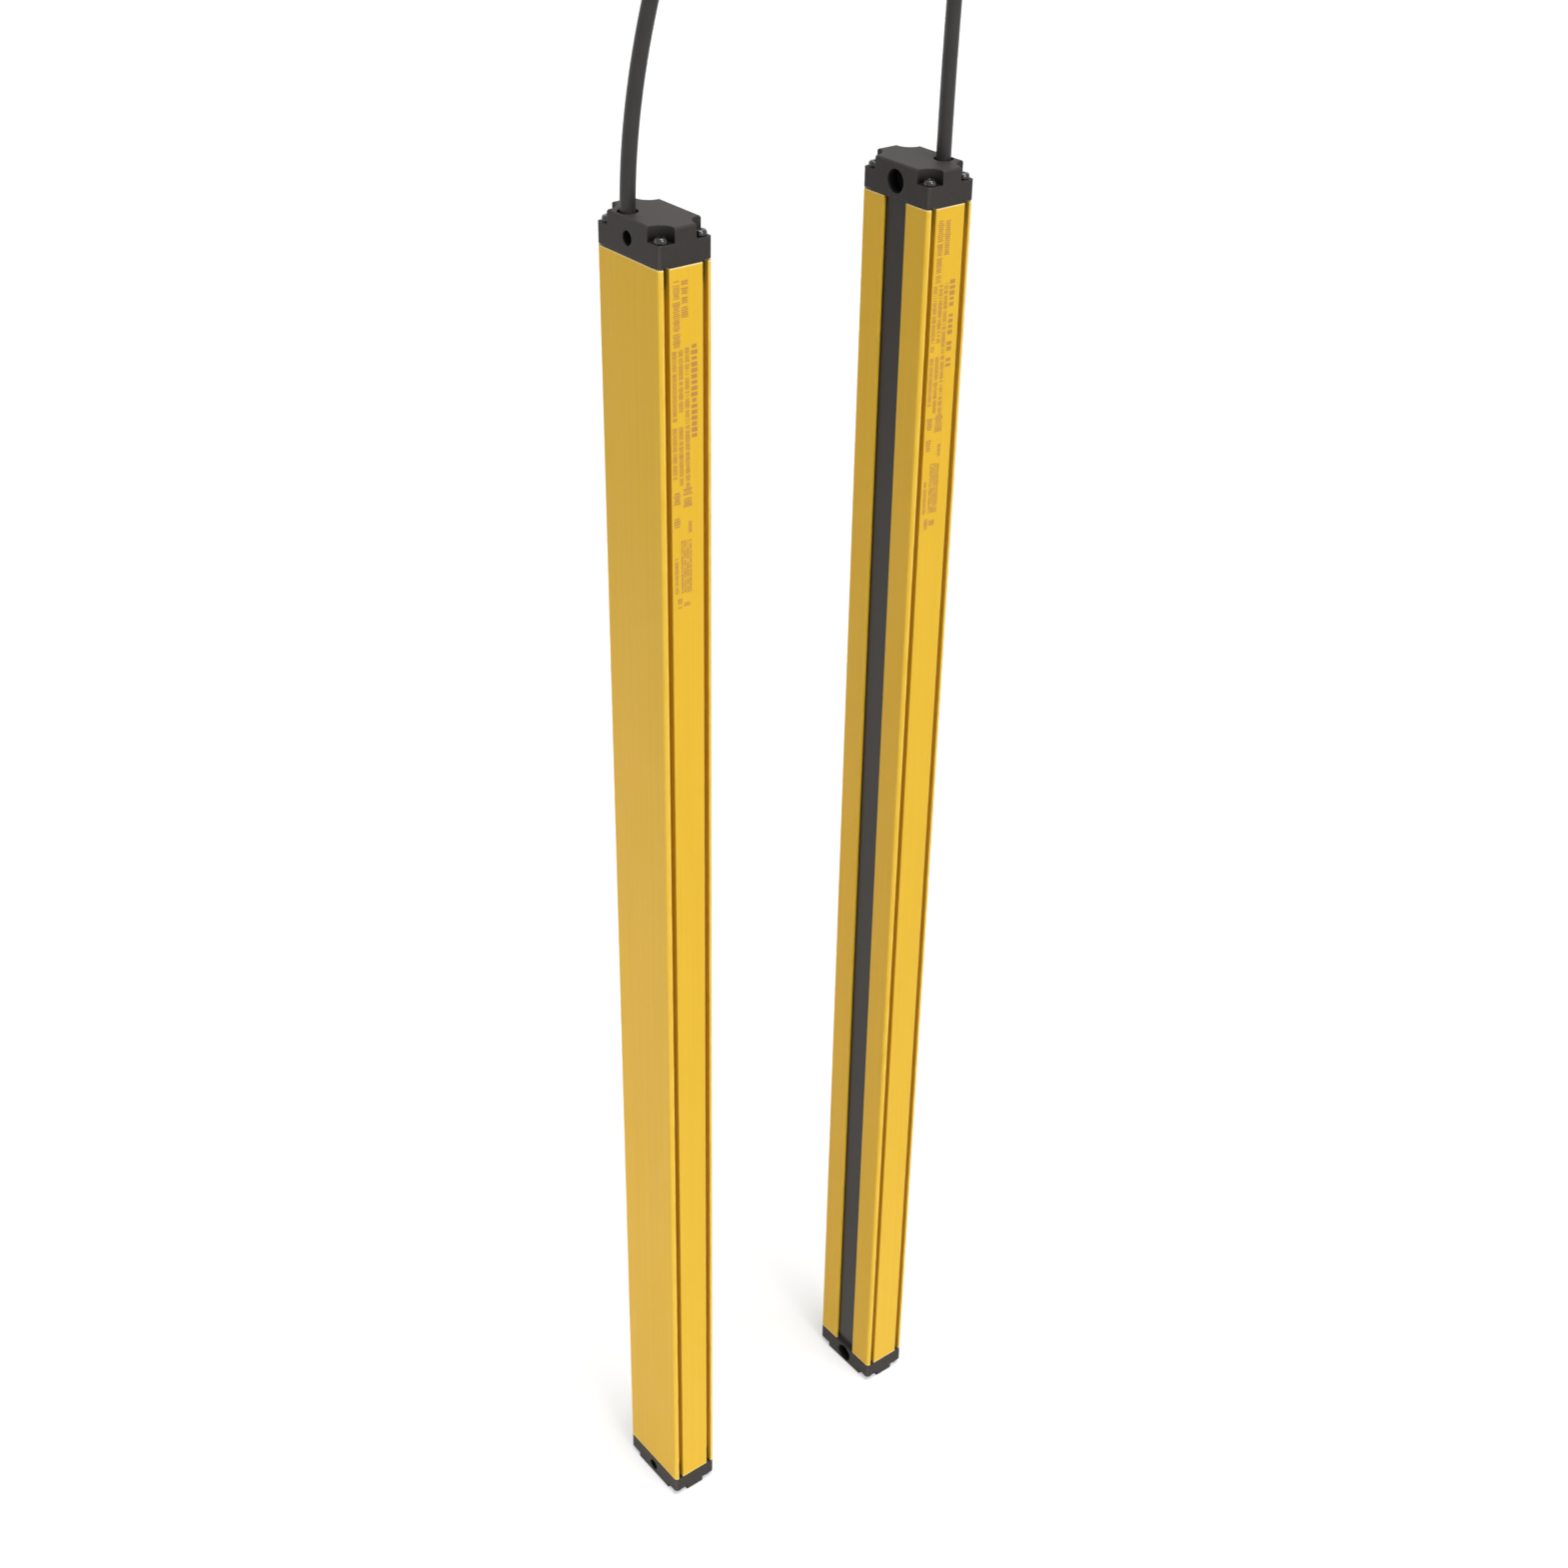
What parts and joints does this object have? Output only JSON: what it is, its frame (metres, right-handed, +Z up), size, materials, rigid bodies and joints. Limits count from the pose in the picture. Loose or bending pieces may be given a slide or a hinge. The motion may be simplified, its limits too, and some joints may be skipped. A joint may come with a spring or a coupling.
{
  "type": "safety light curtain",
  "caption": "Safety light curtain: slim upright emitter and receiver bars in yellow extruded housings with dark end caps, a recessed tinted window and a cable from the top.",
  "frame": {"origin": "floor plane of the bottom caps, midway between the two bars", "axes": "+Z up along the bars, +X across a bar's wide faces, +Y from the emitter to the receiver"},
  "size_m": [0.045, 0.1762, 0.8921],
  "materials": {
    "yellow_anodised": "satin",
    "tinted_window": "satin",
    "seal_rubber": "matte",
    "cap_plastic": "satin",
    "screw_steel": "satin",
    "black_moulding": "matte",
    "lens_acrylic": "gloss",
    "diode_resin": "gloss",
    "circuit_board": "satin",
    "chip_epoxy": "matte",
    "capacitor_case": "satin",
    "lamp_acrylic": "gloss",
    "wire_bundle": "matte",
    "plug_plastic": "satin",
    "cable_jacket": "satin",
    "connector_moulding": "matte",
    "nickel_brass": "satin",
    "insert_plastic": "matte"
  },
  "bodies": {
    "root": {"emitter_housing": "yellow_anodised", "emitter_window": "tinted_window", "emitter_window_seal": "seal_rubber", "emitter_window_sill": "seal_rubber", "emitter_top_cap": "cap_plastic", "emitter_bottom_cap": "cap_plastic", "emitter_top_gasket": "seal_rubber", "emitter_bottom_gasket": "seal_rubber", "emitter_top_screws": "screw_steel", "emitter_bottom_screws": "screw_steel", "emitter_optic_carrier": "black_moulding", "emitter_lens_strip": "lens_acrylic", "emitter_beam_diodes": "diode_resin", "emitter_lower_board": "circuit_board", "emitter_upper_board": "circuit_board", "emitter_board_link": "black_moulding", "emitter_driver_chips": "chip_epoxy", "emitter_capacitors": "capacitor_case", "emitter_status_lamps": "lamp_acrylic", "emitter_cable_gland": "seal_rubber", "emitter_inner_lead": "wire_bundle", "emitter_lead_plug": "plug_plastic", "emitter_cable": "cable_jacket", "emitter_connector_grip": "connector_moulding", "emitter_connector_nut": "nickel_brass", "emitter_connector_insert": "insert_plastic", "receiver_housing": "yellow_anodised", "receiver_window": "tinted_window", "receiver_window_seal": "seal_rubber", "receiver_window_sill": "seal_rubber", "receiver_top_cap": "cap_plastic", "receiver_bottom_cap": "cap_plastic", "receiver_top_gasket": "seal_rubber", "receiver_bottom_gasket": "seal_rubber", "receiver_top_screws": "screw_steel", "receiver_bottom_screws": "screw_steel", "receiver_optic_carrier": "black_moulding", "receiver_lens_strip": "lens_acrylic", "receiver_beam_diodes": "diode_resin", "receiver_lower_board": "circuit_board", "receiver_upper_board": "circuit_board", "receiver_board_link": "black_moulding", "receiver_driver_chips": "chip_epoxy", "receiver_capacitors": "capacitor_case", "receiver_status_lamps": "lamp_acrylic", "receiver_cable_gland": "seal_rubber", "receiver_inner_lead": "wire_bundle", "receiver_lead_plug": "plug_plastic", "receiver_cable": "cable_jacket", "receiver_connector_grip": "connector_moulding", "receiver_connector_nut": "nickel_brass", "receiver_connector_insert": "insert_plastic"}
  },
  "joints": []
}
